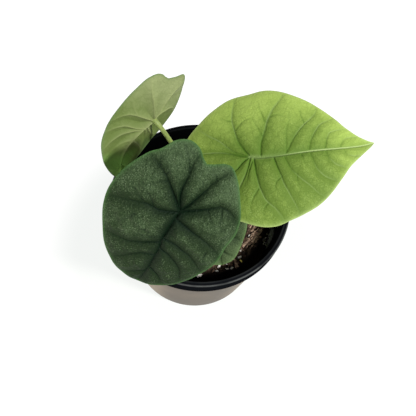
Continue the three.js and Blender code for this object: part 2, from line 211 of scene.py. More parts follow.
# Pot
# A 4.5 inch thermoformed nursery pot, black inside and over its turned-down rim and taupe below it. The
# rim is a narrow land with a skirt that hangs clear of the wall, and the floor has eight drain holes.
POT_HEIGHT = 84
BASE_RADIUS = 44
RIM_RADIUS = 57
RIM_SKIRT = 11
RIM_LAND = 3
WALL = 1.2
POT_FLOOR = 1.5
HOLES = 8
HOLE_CIRCLE = 31
HOLE_RADIUS = 4
PALE_PATCH_PLACE = (0.0495, -0.0035, 0.052)
SKIRT_BOTTOM = POT_HEIGHT - RIM_SKIRT
LAND_INNER = RIM_RADIUS - RIM_LAND
WALL_TAPER = (LAND_INNER - BASE_RADIUS) / SKIRT_BOTTOM


def wall_radius(z):
    """The outer radius of the pot's wall at height z."""
    return BASE_RADIUS + min(z, SKIRT_BOTTOM) * WALL_TAPER


def arc(centre_r, centre_z, radius, start, end, steps=6):
    """Points of a rounded corner of the section, by angle in degrees."""
    angles = [math.radians(start + (end - start) * k / steps) for k in range(steps + 1)]
    return [(centre_r + radius * math.cos(a), centre_z + radius * math.sin(a)) for a in angles]


def lathed(section, steps):
    """A closed shell turned about the pot's axis from its section of radii and heights."""
    bm = bmesh.new()
    line = [bm.verts.new((r, 0, z)) for r, z in section]
    edges = [bm.edges.new(pair) for pair in zip(line, line[1:])]
    bmesh.ops.spin(bm, geom=line + edges, cent=(0, 0, 0), axis=(0, 0, 1),
                   angle=2 * math.pi, steps=steps, use_merge=True)
    bmesh.ops.remove_doubles(bm, verts=bm.verts, dist=0.02)
    bmesh.ops.recalc_face_normals(bm, faces=bm.faces)
    return bm


# The section runs from the middle of the underside up the outside, over the rim and down the inside.
pot_section = [
    (0.01, 0), (BASE_RADIUS - 8, 0), *arc(BASE_RADIUS - 1.6, 1.6, 1.6, -90, -10),
    (wall_radius(24), 24), (wall_radius(48), 48), (wall_radius(SKIRT_BOTTOM - 3), SKIRT_BOTTOM - 3),
    (LAND_INNER + 0.3, POT_HEIGHT - 3), *arc(LAND_INNER + 1.3, POT_HEIGHT - 2.4, 0.7, 170, 90, 4),
    (RIM_RADIUS - 1.6, POT_HEIGHT - 1.7), (RIM_RADIUS - 1.3, POT_HEIGHT - 2.2),
    (RIM_RADIUS - 1.6, SKIRT_BOTTOM + 1.2), *arc(RIM_RADIUS - 1.1, SKIRT_BOTTOM + 0.5, 0.5, 180, 330, 6),
    (RIM_RADIUS - 0.25, POT_HEIGHT - 3), *arc(RIM_RADIUS - 0.95, POT_HEIGHT - 0.9, 0.9, 8, 90, 6),
    (RIM_RADIUS - 1.6, POT_HEIGHT - 0.12), (LAND_INNER + 0.9, POT_HEIGHT - 0.12),
    *arc(LAND_INNER + 0.4, POT_HEIGHT - 0.7, 0.7, 90, 170, 5),
    (LAND_INNER - 0.9, POT_HEIGHT - 5), (wall_radius(SKIRT_BOTTOM) - WALL, SKIRT_BOTTOM - 2),
    (wall_radius(40) - WALL, 40), *arc(wall_radius(3) - WALL - 1.3, 2.8, 1.3, 5, -90, 4)[:-1],
    (wall_radius(3) - WALL - 1.3, POT_FLOOR), (0.01, POT_FLOOR),
]
bm = lathed(pot_section, 180)
for face in bm.faces:
    middle = face.calc_center_median()
    reach = math.hypot(middle.x, middle.y)
    outside = reach > wall_radius(middle.z) - WALL / 2 or middle.z < POT_FLOOR / 2
    face.material_index = int(outside and middle.z < SKIRT_BOTTOM - 2)

# The black is dusty. A pale line along the outer edge of its rim and a fainter one along the inner edge are
# painted highlights, and a pale patch lies on the inside of the wall.
black, at = new_finish("pot_black")
scuffs = at.noise(90, 4, 0.6)
dust = at.noise(700, 3, 0.7).between(0.62, 0.8)
reach = at.from_axis()
outer, inner, top = RIM_RADIUS / 1000, LAND_INNER / 1000, POT_HEIGHT / 1000
# Painted highlights: a pale line round the rim's outer top edge and a fainter one round its inner edge.
painted_rim_highlight = reach.between(outer - 0.0011, outer - 0.0005) + reach.between(inner + 0.0011, inner + 0.0004) * 0.2
painted_rim_highlight = painted_rim_highlight * at.along("Z").between(top - 0.0011, top - 0.0003) * at.noise(60, 3).between(0.3, 0.6)
skin = (dust * 0.2).mix((0.0045, 0.0051, 0.0064, 1), (0.05, 0.05, 0.05, 1))
# A pale patch on the inside of the wall, at the right.
pale_patch = at.node("ShaderNodeVectorMath", {"operation": "DISTANCE"}, {0: at, 1: PALE_PATCH_PLACE}, "Value")
pale_patch = pale_patch.between(0.01, 0.001) * at.noise(450, 4, 0.7).between(0.32, 0.5)
skin = pale_patch.mix(skin, (0.85, 0.87, 0.82, 1))
dress(black, relief=at.noise(1500, 2), depth=0.00002,
      Base_Color=(painted_rim_highlight * 0.65).mix(skin, (0.1, 0.105, 0.1, 1)),
      Roughness=0.3 + scuffs * 0.22, Specular_IOR_Level=0)

# The taupe is clouded, and painted darker towards the middle of the front and back and lighter at the sides:
# painted shade and painted light.
taupe, at = new_finish("pot_taupe")
clouds = at.noise(35, 4, 0.6)
aside = at.along("X") - 0.008
# Over the clouds, painted light at the sides and painted shade at the middle of the front and back.
clouds_and_painted_light = (clouds * 0.6 + (aside * aside).between(0, 0.0012) * 0.4).between(0.2, 0.8)
dress(taupe, relief=at.noise(900, 3), depth=0.00003,
      Base_Color=clouds_and_painted_light.mix((0.125, 0.109, 0.09, 1), (0.25, 0.207, 0.158, 1)),
      Roughness=0.42 + clouds * 0.15, Specular_IOR_Level=0.04)
pot = new_piece("pot_shell", bm, black, taupe)

bm = bmesh.new()
for k in range(HOLES):
    angle = (k + 0.5) * 2 * math.pi / HOLES
    place = Matrix.Translation((HOLE_CIRCLE * math.cos(angle), HOLE_CIRCLE * math.sin(angle), 0))
    bmesh.ops.create_cone(bm, cap_ends=True, segments=24, radius1=HOLE_RADIUS, radius2=HOLE_RADIUS,
                          depth=8 * POT_FLOOR, matrix=place)
drill = new_piece("drill", bm)
holes = pot.modifiers.new("holes", "BOOLEAN")
holes.operation = "DIFFERENCE"
holes.solver = "EXACT"
holes.object = drill
bpy.context.view_layer.update()
cut = bpy.data.meshes.new_from_object(pot.evaluated_get(bpy.context.evaluated_depsgraph_get()))
pot.modifiers.clear()
for face in cut.polygons:
    face.use_smooth = abs(face.normal.z) < 0.999
pot.data = cut
bpy.data.objects.remove(drill)
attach(pot, "root")
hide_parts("pot")

# Soil
# Damp potting mix of peat, bark fines and grit. It is a root ball a little smaller than the pot, so a
# dark moat runs round it. Its top is a crust of crumbs, on low mounds that the grains and chips lie on.
SOIL_TOP = 68
SOIL_DOME = 0.8
DOME_RADIUS = 30
BALL_RADIUS = 44
MOAT_FLOOR = 47
CLEARANCE = 0.3
MOUNDS = 150
CRUMBS = 1500


def draws(seed):
    """Seeded draws from 0 to 1, the same at every run."""
    state = seed
    while True:
        state = (state * 1664525 + 1013904223) % 4294967296
        yield state / 4294967296


def scattered(draw, radius):
    """The next place on a disc of this radius."""
    reach = radius * math.sqrt(next(draw))
    angle = 2 * math.pi * next(draw)
    return reach * math.cos(angle), reach * math.sin(angle)


draw = draws(7)
mounds = []
for k in range(MOUNDS):
    mounds.append((*scattered(draw, BALL_RADIUS), 3 + 4 * next(draw), 0.6 + next(draw)))
mounds = np.array(mounds)


def soil_height(x, y):
    """The height of the soil's mounds, without its crumbs."""
    dome = SOIL_DOME * (1 - (x * x + y * y) / DOME_RADIUS ** 2)
    away = (x - mounds[:, 0]) ** 2 + (y - mounds[:, 1]) ** 2
    raised = mounds[:, 3] * np.maximum(0, 1 - away / mounds[:, 2] ** 2)
    return SOIL_TOP - SOIL_DOME + dome + raised.max()


def on_soil(x, y, lift=0):
    """A place on the soil, or this much above it."""
    return Matrix.Translation((x, y, soil_height(x, y) + lift))


# The section runs from the middle of the pot's floor up the wall, into the moat and over the crust.
low = POT_FLOOR + CLEARANCE
soil_section = [(0.01, low), (20, low), (wall_radius(1) - WALL - 2, low)]
soil_section += [(wall_radius(4) - WALL - 0.4, low + 2)]
soil_section += [(wall_radius(z) - WALL - CLEARANCE, z) for z in (15, 30, 40, MOAT_FLOOR - 1)]
soil_section += [(wall_radius(MOAT_FLOOR) - WALL - 0.6, MOAT_FLOOR)]
soil_section += [(48, MOAT_FLOOR), (46.5, MOAT_FLOOR - 0.3)]
soil_section += [(45.2 - 0.05 * k, MOAT_FLOOR + 1.5 + k) for k in range(18)]
soil_section += [(BALL_RADIUS - 0.5 * k, SOIL_TOP) for k in range(1, 88)] + [(0.01, SOIL_TOP)]
bm = lathed(soil_section, 300)
for vert in bm.verts:
    x, y, z = vert.co
    if z > SOIL_TOP - 1:
        crumbs = noise.fractal(vert.co * 0.55, 0.7, 2.1, 4)
        vert.co.z = soil_height(x, y) + 0.55 * crumbs
    elif z > MOAT_FLOOR - 1.5 and math.hypot(x, y) < 47.5:
        hollow = 0.7 * noise.fractal(vert.co * 0.35, 0.8, 2.1, 4)
        vert.co.x *= 1 + hollow / (BALL_RADIUS + 1)
        vert.co.y *= 1 + hollow / (BALL_RADIUS + 1)

# Its edge and the moat are painted nearly black: painted shade in the moat.
peat, at = new_finish("soil_peat")
clods = at.noise(260, 5, 0.65)
tan = at.stretched((1, 0.25, 1), -0.5).noise(420, 3, 0.6).between(0.56, 0.68)
ground = clods.between(0.35, 0.7).mix((0.012, 0.008, 0.006, 1), (0.085, 0.05, 0.032, 1))
# Painted shade: nearly black from 38.5 mm out to the ball's edge and down in the moat.
painted_moat_shade = at.from_axis().between(0.0385, BALL_RADIUS / 1000)
crust = (tan * 0.75).mix(ground, (0.2, 0.13, 0.085, 1))
dress(peat, relief=at.noise(900, 5, 0.7), depth=0.0009,
      Base_Color=(painted_moat_shade * 0.85).mix(crust, (0.004, 0.003, 0.0025, 1)), Roughness=0.85,
      Specular_IOR_Level=0.1)
soil = new_piece("soil_ball", bm, peat)
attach(soil, "root")
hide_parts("soil")

# Loose crumbs of the mix lie on the crust. The noise that roughens them, the grains, the chips and the
# corm starts from one seed, so that it is the same at every run.
noise.seed_set(5)
crumb_finish, at = new_finish("soil_crumbs")
shade = at.noise(330, 2).between(0.35, 0.7)
dress(crumb_finish, relief=at.noise(1800, 4, 0.7), depth=0.0004,
      Base_Color=shade.mix((0.016, 0.01, 0.008, 1), (0.15, 0.09, 0.058, 1)), Roughness=0.85,
      Specular_IOR_Level=0.25)
draw = draws(21)
bm = bmesh.new()
for k in range(CRUMBS):
    x, y = scattered(draw, BALL_RADIUS - 0.4)
    size = 0.3 + 1.1 * next(draw) ** 3
    turned = on_soil(x, y, 0.35 * size) @ Matrix.Rotation(6.28 * next(draw), 4, "Z")
    turned = turned @ Matrix.Rotation(1.5 * next(draw), 4, "X")
    shaped = turned @ Matrix.Diagonal((1 + 0.8 * next(draw), 0.75, 0.6, 1))
    bmesh.ops.create_icosphere(bm, subdivisions=1, radius=size, matrix=shaped)
for vert in bm.verts:
    vert.co += 0.16 * noise.noise_vector(vert.co * 2.5)
crumbs = new_piece("soil_crumbs", bm, crumb_finish)
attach(crumbs, "root")

# Perlite
# White grains of puffed volcanic glass, rough and pitted. Thirteen are large, and finer grit lies between
# them and in the moat at the right. One yellow grain of feed lies among them.
GRIT = 120
MOAT_GRIT = 14
FEED_PLACE = (31.4, -29.6)
# Each large grain's place, half length and turn.
PERLITE = (
    (6.8, -43.4, 2, 20), (18.2, -35.1, 1.6, 70), (17.3, -38.6, 1.2, 10), (23.3, -35.8, 1.1, 0),
    (26.3, -34.9, 1.1, 45), (29.6, -17.3, 1.3, 15), (30.2, -22.8, 1.1, 60), (30.3, -27.2, 1.3, 30),
    (34.5, -11.6, 1.1, 80), (-20, 26, 1.5, 0), (8, 33, 1.3, 50), (-35, 4, 1.4, 20), (27, 24, 1.2, 65),
)
bm = bmesh.new()
for x, y, size, turn in PERLITE:
    spot = on_soil(x, y) @ Matrix.Rotation(math.radians(turn), 4, "Z")
    shaped = spot @ Matrix.Diagonal((0.95, 0.5, 0.55, 1))
    bmesh.ops.create_icosphere(bm, subdivisions=4, radius=size, matrix=shaped)
draw = draws(33)
for k in range(GRIT):
    x, y = scattered(draw, BALL_RADIUS - 1)
    size = 0.18 + 0.45 * next(draw) ** 2
    bmesh.ops.create_icosphere(bm, subdivisions=2, radius=size, matrix=on_soil(x, y, 0.5 * size))
for k in range(MOAT_GRIT):
    x, y = 46 + 2.6 * next(draw), 1 - 9 * next(draw)
    spot = Matrix.Translation((x, y, MOAT_FLOOR + 0.3))
    bmesh.ops.create_icosphere(bm, subdivisions=2, radius=0.25 + 0.35 * next(draw), matrix=spot)
for vert in bm.verts:
    vert.co += 0.45 * noise.noise_vector(vert.co * 1.1) + 0.12 * noise.noise_vector(vert.co * 5)
lying = on_soil(*FEED_PLACE, 0.5) @ Matrix.Rotation(-0.7, 4, "Z") @ Matrix.Diagonal((1, 0.55, 0.55, 1))
feed = set(bmesh.ops.create_icosphere(bm, subdivisions=3, radius=1, matrix=lying)["verts"])
for face in bm.faces:
    face.material_index = int(set(face.verts) <= feed)
white, at = new_finish("perlite_white")
pits = at.cells(2500)
dress(white, relief=pits, depth=0.0002,
      Base_Color=at.noise(400, 3).between(0.35, 0.6).mix((0.5, 0.45, 0.38, 1), (0.85, 0.82, 0.75, 1)),
      Roughness=0.9, Specular_IOR_Level=0.2)
amber, at = new_finish("feed_yellow")
dress(amber, Base_Color=at.noise(900, 2).between(0.3, 0.7).mix((0.7, 0.55, 0.08, 1), (0.85, 0.72, 0.2, 1)),
      Roughness=0.4, Specular_IOR_Level=0.3)
grains = new_piece("perlite_grains", bm, white, amber)
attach(grains, "root")
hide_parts(*[f"perlite_{k + 1}" for k in range(len(PERLITE))])

# Bark
# Chips of composted pine bark and split wood, light brown, with a grain along their length and torn
# ends. Splinters lie round the two long chips at the right, and fine fibres all over the crust.
SPLINTERS = 26
FIBRES = 90
# Each chip's place, half length and turn.
BARK = (
    (39.2, -11.5, 6, 62), (33.4, -16.4, 4.5, 55), (28.3, -31.8, 3, 120), (-12, -36, 5, 15),
    (-30, 18, 5, 100), (14, -27, 4, 150),
)
bm = bmesh.new()
for x, y, half, turn in BARK:
    spot = on_soil(x, y) @ Matrix.Rotation(math.radians(turn), 4, "Z")
    lying = spot @ Matrix.Rotation(math.pi / 2, 4, "Y")
    bmesh.ops.create_cone(bm, cap_ends=True, segments=14, radius1=1.2, radius2=0.8,
                          depth=2 * half, matrix=lying)
    sides = [edge for edge in bm.edges if edge.calc_length() > half]
    bmesh.ops.subdivide_edges(bm, edges=sides, cuts=24, use_grid_fill=True)
draw = draws(57)
for k in range(SPLINTERS):
    x, y = 35 + 8 * next(draw), -19 + 16 * next(draw)
    if math.hypot(x, y) < BALL_RADIUS - 1.5:
        spot = on_soil(x, y, 0.2) @ Matrix.Rotation(0.9 + 0.4 * next(draw), 4, "Z")
        lying = spot @ Matrix.Rotation(math.pi / 2 - 0.1 + 0.2 * next(draw), 4, "Y")
        bmesh.ops.create_cone(bm, cap_ends=True, segments=8, radius1=0.5, radius2=0.3,
                              depth=4 + 6 * next(draw), matrix=lying)
draw = draws(45)
for k in range(FIBRES):
    x, y = scattered(draw, BALL_RADIUS - 2)
    length = 1.5 + 4 * next(draw)
    spot = on_soil(x, y, 0.25) @ Matrix.Rotation(6.28 * next(draw), 4, "Z")
    lying = spot @ Matrix.Rotation(math.pi / 2 - 0.25 + 0.5 * next(draw), 4, "Y")
    bmesh.ops.create_cone(bm, cap_ends=True, segments=5, radius1=0.22, radius2=0.1,
                          depth=length, matrix=lying)
for vert in bm.verts:
    vert.co += 0.32 * noise.noise_vector(vert.co * 0.7) + 0.16 * noise.noise_vector(vert.co * 2.6)
bark_finish, at = new_finish("bark_brown")
grain = at.stretched((0.12, 1, 1), -1.05).noise(1600, 4, 0.6)
dress(bark_finish, relief=grain, depth=0.0006,
      Base_Color=grain.between(0.35, 0.65).mix((0.09, 0.055, 0.038, 1), (0.46, 0.32, 0.22, 1)),
      Roughness=0.85, Specular_IOR_Level=0.2)
bark = new_piece("bark_chips", bm, bark_finish)
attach(bark, "root")
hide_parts(*[f"bark_{k + 1}" for k in range(len(BARK))])

# Corm
# The swollen stem base that the stalks stand on. It is tan and woody, with the ringed scars of old
# leaves round it, and only its crown is out of the soil.
PLANT_CENTRE = (2, 10)
CORM_TOP = 70
CORM_RADIUS = 8.8
CORM_DEPTH = 18
corm_section = [(0.01, CORM_TOP - CORM_DEPTH), (5, CORM_TOP - CORM_DEPTH + 0.6), (8, CORM_TOP - 14)]
corm_section += [(CORM_RADIUS - 0.25 * (k % 2), CORM_TOP - 9 + 0.5 * k) for k in range(16)]
corm_section += [(CORM_RADIUS - 0.3, CORM_TOP - 0.7), (CORM_RADIUS - 1.1, CORM_TOP - 0.1)]
corm_section += [(6, CORM_TOP), (0.01, CORM_TOP)]
bm = lathed(corm_section, 72)
bmesh.ops.translate(bm, vec=(*PLANT_CENTRE, 0), verts=bm.verts)
for vert in bm.verts:
    vert.co += 0.35 * noise.noise_vector(vert.co * 0.45)
woody, at = new_finish("corm_tan")
rings = at.node("ShaderNodeTexWave", {"bands_direction": "Z"},
                {"Vector": at, "Scale": 260, "Distortion": 6}, "Fac")
dress(woody, relief=rings, depth=0.0004,
      Base_Color=(at.noise(300, 4) * 0.8 + rings * 0.2).mix((0.12, 0.08, 0.045, 1), (0.42, 0.34, 0.2, 1)),
      Roughness=0.75, Specular_IOR_Level=0.3)
corm = new_piece("corm_crown", bm, woody)
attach(corm, "root")
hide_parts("corm")

# Leaves
# Each leaf is a thick stiff blade on a fleshy stalk. The blade is arched along its midrib, puffed up
# between its veins and pebbled, with the veins sunk in its face and standing out as ribs beneath.

# A blade is drawn flat first, in u along the midrib and w across it, to the left when seen from above.
# A vein leaves the midrib at its root and meets the margin at a share of the way from tip to notch.
# bend and cross are the radii of the arch along and across the blade, fold is how steeply its halves
# rise, and full is the length from which a vein has its full depth.
LEAVES = {
    "front": {
        "junction": (-8.5, -34.7, 134), "heading": -118, "climb": -46, "roll": -29,
        "bend": 125, "fold": 0.1, "cross": 125, "thickness": 1, "quilt": 1.9, "valley": 1.4, "groove": 0.5,
        "ripple": 1.3, "rib": 1, "full": 8,
        "midrib": [(0, 0), (10.5, -0.7), (20.9, -1), (26, 0.2), (38.7, 0.8), (51, 1.1), (58.6, 0.5)],
        "notch": (-29, 1),
        "left": [(56.3, 7.4), (52.4, 14), (46.5, 21.3), (37.6, 26.7), (26.1, 30.8), (17.5, 32.5), (9.3, 32.1),
                 (0.5, 33.4), (-9.3, 31.2), (-19.3, 25.4), (-28.2, 19.3), (-32.9, 14), (-32.9, 9.5),
                 (-30.7, 5.1)],
        "right": [(56.3, -5.9), (51.5, -14.8), (45.9, -21.3), (37.1, -27.9), (25.2, -33.2), (13.5, -37.4),
                  (2.4, -38.3), (-10.3, -35.1), (-21.6, -28.9), (-27, -23.3), (-33.6, -18.3),
                  (-36.5, -11.9), (-35, -5.8), (-31.4, -2.1)],
        "left_veins": [
            (42, 0.1, [(44.9, 6.7), (49, 11)]),
            (26, 0.21, [(27.2, 4.9), (29.1, 8.8), (31.9, 13.1), (35.4, 16.7), (40.9, 19.3)]),
            (19, 0.31, [(19.7, 6.7), (21.2, 11), (22.6, 16), (25.8, 21.2), (29.6, 26.2)]),
            (5, 0.44, [(7.9, 9.7), (9, 14.5), (10.3, 19.4), (12.3, 24.7), (14.3, 28.8)]),
            (0, 0.62, [(-3.9, 6.7), (-6.7, 11.2), (-9.6, 15.5), (-11.4, 18.5), (-10.3, 25)]),
            (0, 0.86, [(-5.8, 2.9), (-11.1, 4.8), (-16.2, 6.9), (-21.1, 8.5), (-28.3, 13)]),
        ],
        "right_veins": [
            (46, 0.09, [(50.5, -5)]),
            (32, 0.18, [(33.3, -5.6), (35.8, -9.9), (39.5, -13.5)]),
            (22, 0.33, [(24.3, -6), (26.3, -9.8), (27.8, -13.8), (29.1, -17.4)]),
            (1, 0.49, [(3.1, -6.6), (3.8, -10.8), (3, -15.7), (3.4, -20.1), (4.3, -23)]),
            (0, 0.73, [(-4.8, -4.7), (-8.1, -8), (-12.2, -12.2), (-15.3, -15.4), (-19.2, -21.7)]),
            (0, 0.95, [(-6.1, -3.1), (-11.5, -4.6), (-19, -4.8), (-26.8, -5.2), (-30, -4.5)]),
        ],
        "thin": [
            [(10.4, -20.9), (13.6, -22.9), (17.4, -25.8), (20, -28.7)],
            [(-15.3, -15.4), (-18.3, -15.2), (-21.3, -16)], [(-18.2, -20.1), (-23.1, -21.8), (-26.4, -21.7)],
            [(-21.8, -5.1), (-27.1, -8.2), (-30.8, -11.1), (-34, -13.8)],
            [(1.8, -14.6), (-2.1, -18.1), (-4.9, -23.3), (-7.2, -27.1)],
            [(19.3, -5.3), (20.3, -10.1), (21.1, -14.4), (20.2, -18.2)],
            [(-7.3, 12.6), (-3.7, 15.7), (-0.1, 19.3)],
            [(-10.3, 19.3), (-5.5, 21.3), (-2.1, 22.5), (-1, 26.1)],
            [(16.5, 23.8), (20.4, 24), (24.4, 27.9)], [(-15.3, 6.2), (-15.4, 10.2)],
            [(-23.3, 9.6), (-27.3, 7.1)], [(42.2, 3.1), (44.9, 6.7), (47.4, 10.9)],
            [(2.1, -20.1), (-0.8, -24.2), (-3.5, -28.2)],
            [(-12.7, -13.6), (-10.5, -18.1), (-7.8, -21.3)], [(17.1, -9.8), (17, -15.1), (17, -20.2)],
        ],
        "stalk": {"angle": 228, "foot": 3, "top": 1.6, "lean": (0, 0, 42), "approach": 36},
    },
    "right": {
        "junction": (24.4, 10.5, 126), "heading": 18, "climb": 12, "roll": 10,
        "bend": 125, "fold": 0.12, "cross": 100, "thickness": 1, "quilt": 0.9, "valley": 0.4, "groove": 0.35,
        "ripple": 0.3, "rib": 1, "full": 38,
        "midrib": [(0, 0), (7, -1.9), (18, -2.7), (35, -2.7), (54, -2.7), (69, -1.7), (82.1, 0.8)],
        "notch": (-28.5, 0),
        "left": [(75.2, 1.9), (67.8, 4.9), (60.8, 10.5), (55.3, 17), (44.6, 27), (34.1, 33.7), (25.6, 38.1),
                 (17.1, 40.3), (8.2, 39.8), (-4, 39), (-15.4, 33.8), (-24.5, 27.8), (-33.8, 20.6),
                 (-37.4, 13.4), (-35.8, 6.9), (-31.1, 2.7)],
        "right": [(77.8, -2.1), (67.9, -8), (58.5, -14.1), (50.8, -21.1), (41.4, -29.2), (32.6, -34.8),
                  (23, -38.2), (14.5, -40.2), (6.1, -41.6), (-3, -40), (-13.5, -34.9), (-23, -29),
                  (-31.1, -21.3), (-36.4, -13.2), (-35.8, -6.7), (-31.6, -2.3)],
        "left_veins": [
            (54, 0.08, [(56.8, 1.2), (61.1, 3.6)]),
            (44, 0.14, [(47.6, 4.9), (51, 7.8)]),
            (34, 0.2, [(36, 2.2), (38.1, 5.7), (40.9, 9.2), (45.5, 13.3)]),
            (20, 0.28, [(23.9, 2.6), (27.4, 7), (31.3, 10.9), (35.3, 14.2), (39.8, 17.1), (44, 20.5)]),
            (6, 0.41, [(7.9, 6.8), (9.9, 10.7), (12.1, 15.3), (14.2, 19.5), (17, 23.6), (20.4, 27.8),
                       (25.1, 32)]),
            (0, 0.6, [(-2.5, 4.8), (-4.4, 9.5), (-5.2, 14.2), (-5.5, 18.1), (-5.7, 23.5), (-4.4, 30)]),
            (0, 0.79, [(-5.2, 2.7), (-9.2, 5.8), (-14.9, 13), (-19, 16.7), (-22.2, 19.7)]),
            (0, 0.91, [(-5.4, 1.8), (-10.7, 4.4), (-16.2, 6.5), (-26.7, 8.9)]),
        ],
        "right_veins": [
            (56, 0.1, [(57.8, -6.5), (62, -8)]),
            (44, 0.19, [(44.7, -7.5), (46.6, -10.2), (49.1, -12.9)]),
            (34.5, 0.26, [(35.1, -8.3), (35.8, -12.7), (37.4, -15.9), (41, -19.5)]),
            (19, 0.34, [(20.1, -8.5), (21.1, -11.8), (23.2, -15.1), (26.4, -19.2), (30.4, -23.5), (34, -28)]),
            (13, 0.46, [(13.6, -9.2), (14.6, -14.8), (15.2, -19.6), (16.6, -23.9), (18.5, -30)]),
            (2, 0.52, [(1.4, -7.2), (1.3, -12.7), (1.4, -17.4), (2.7, -24.7), (4.7, -28.5), (8, -32.4),
                       (10.5, -37)]),
            (0, 0.74, [(-1.9, -4.9), (-5.5, -11.1), (-10.9, -18), (-16, -25)]),
            (0, 0.92, [(-4.5, -2.1), (-9.3, -5.8), (-16, -7.5), (-26, -8.5)]),
        ],
        "thin": [
            [(12.9, 19.1), (11.8, 24.7), (11, 29), (11.4, 33.2)],
            [(9.3, 10.8), (7.3, 17.6), (5.9, 21.9), (5.3, 24.7)],
            [(21, -1), (22.3, 5.9), (23.7, 12), (26.3, 17.4), (27.8, 23.2)],
            [(1.1, -19.1), (-2.8, -23.5), (-5.4, -27.5), (-5.8, -31.9), (-5.6, -35.9)],
            [(4.2, -28.4), (1.3, -31.2), (-0.2, -35.3)],
            [(0.5, -3.3), (-2.3, -8.2), (-4.5, -13.1), (-7, -16.7)],
            [(23.8, -15.2), (22.8, -19.8), (23.7, -23.4)],
            [(29, -3.8), (29.3, -9.4), (30.8, -13.3)], [(-5.7, 23.5), (-9, 25.1), (-12.7, 28.2)],
            [(-5.1, 17.4), (0.5, 21.8), (6.2, 23.2)], [(35.3, 14.2), (34.4, 20.3), (34.7, 25.8)],
            [(15.1, -14.9), (11, -18.2), (9.3, -23.1)], [(15.9, 21.8), (20.3, 22.3), (23.4, 20.5)],
        ],
        "stalk": {"angle": 20, "foot": 3, "top": 1.6, "lean": (0, 0, 30), "approach": 16},
    },
    "back": {
        "junction": (-32.5, 13.5, 144), "heading": -127, "climb": -40, "roll": 90,
        "bend": 125, "fold": 0.3, "cross": 167, "thickness": 1, "quilt": 0.8, "valley": 0.5, "groove": 0.35,
        "ripple": 0.25, "rib": 1.5, "full": 8,
        "midrib": [(0, 0), (7.3, 3.8), (14.9, 6.7), (21.9, 8), (28.9, 6.7), (38.5, 1.5)],
        "notch": (-24.3, 10.7),
        "left": [(37.9, 4), (36.8, 7.4), (33.4, 13.5), (29.3, 18.9), (22.4, 23.9), (13.7, 26.1), (5.3, 27.7),
                 (-2.7, 26.8), (-12.3, 23.6), (-19.5, 22.8), (-23.7, 20.7), (-25, 17.3), (-24.5, 13.8)],
        "right": [(37.1, -3.9), (32.3, -8.4), (26.2, -10.9), (20.1, -14.4), (14, -20.3), (8.5, -26.7),
                  (0.2, -27.5), (-9.6, -21.7), (-18, -15), (-22.7, -8.3), (-26.8, -0.9), (-30.6, 5.2),
                  (-27.1, 8.1)],
        "left_veins": [
            (30, 0.14, [(33, 8)]),
            (8, 0.3, [(9, 8.6), (11.1, 12.5), (13.6, 16.1), (18.6, 20)]),
            (6.5, 0.42, [(7.5, 8.5), (7.8, 11.8), (8.2, 16.2), (10.5, 21)]),
            (0, 0.5, [(0.3, 4), (0.5, 8.1), (0.9, 14.2), (2.4, 20.1)]),
            (0, 0.85, [(-3.5, 3.2), (-7.3, 6.5), (-10.8, 10.3), (-15, 15.5)]),
        ],
        "right_veins": [
            (29, 0.1, [(31.5, 0)]),
            (15, 0.21, [(17, 0), (20, -8)]),
            (5, 0.36, [(7.2, -3.1), (10, -12)]),
            (0, 0.53, [(-2.7, 0.4), (-5.7, -2.9), (-7.7, -10.5), (-7.6, -17.8)]),
            (0, 0.86, [(-6, 0), (-16, 0.5)]),
        ],
        "thin": [
            [(0.5, 12.9), (-2.2, 16.9), (-5.6, 20.8)], [(-4, 1.8), (-10.7, 6.8), (-16.2, 10.8)],
            [(6.3, 2.3), (12, -6.6)], [(-7.1, -6.7), (-12.9, -2.8), (-18.8, -2.6)],
            [(14, 6.5), (17.5, 11), (23, 15)], [(20, 8), (23, 2), (25, -5)],
        ],
        "stalk": {"angle": 135, "foot": 2.2, "top": 1.1, "lean": (-12, 5, 20), "approach": 14},
    },
    "small": {
        "junction": (10.1, -12.9, 99), "heading": -70, "climb": -36, "roll": 2,
        "bend": 200, "fold": 0.1, "cross": 125, "thickness": 0.9, "quilt": 0.6, "valley": 0.5, "groove": 0.3,
        "ripple": 0.3, "rib": 1, "full": 8,
        "midrib": [(0, 0), (12, 0), (24, 0), (35.2, 0)],
        "notch": (-14, 0),
        "left": [(34.3, 2.8), (33, 6.4), (30.5, 9.3), (27, 11.7), (23, 13.9), (15, 17), (6, 18.8), (-3, 18.2),
                 (-10, 16), (-15, 12), (-17.6, 6.7), (-16.3, 2.7)],
        "right": [(34.3, -2.8), (33, -6.4), (30.5, -9.3), (27, -11.7), (23, -13.9), (15, -17), (6, -18.8),
                  (-3, -18.2), (-10, -16), (-15, -12), (-17.6, -6.7), (-16.3, -2.7)],
        "left_veins": [(24, 0.13, [(27.5, 3)]), (14, 0.28, [(16, 5), (19, 10)]),
                       (5, 0.46, [(6, 6), (7.5, 13)]), (0, 0.66, [(-2, 6), (-4, 13)]),
                       (0, 0.84, [(-5, 3.5), (-11, 7)])],
        "right_veins": [(24, 0.13, [(27.5, -3)]), (14, 0.28, [(16, -5), (19, -10)]),
                        (5, 0.46, [(6, -6), (7.5, -13)]), (0, 0.66, [(-2, -6), (-4, -13)]),
                        (0, 0.84, [(-5, -3.5), (-11, -7)])],
        "thin": [[(10, 0), (11.5, 6), (13.5, 12)], [(10, 0), (11.5, -6), (13.5, -12)]],
        "stalk": {"angle": 300, "foot": 2, "top": 1.2, "lean": (0, 0, 10), "approach": 9},
    },
}
SOFT_FOLD = 5
MARGIN_WAVE = 0.6
MARGIN_WAVES = 3
VEIN_POINTS = 60
MARGIN_POINTS = 400
ROUND_ROWS = 4


def blade_axes(leaf):
    """The blade's own axes: along the midrib, across to the left, and up out of its upper face."""
    a, e, r = (math.radians(leaf[key]) for key in ("heading", "climb", "roll"))
    along = np.array((math.cos(a) * math.cos(e), math.sin(a) * math.cos(e), math.sin(e)))
    level = np.array((-math.sin(a), math.cos(a), 0))
    up = np.cross(along, level)
    return along, level * math.cos(r) + up * math.sin(r), up * math.cos(r) - level * math.sin(r)


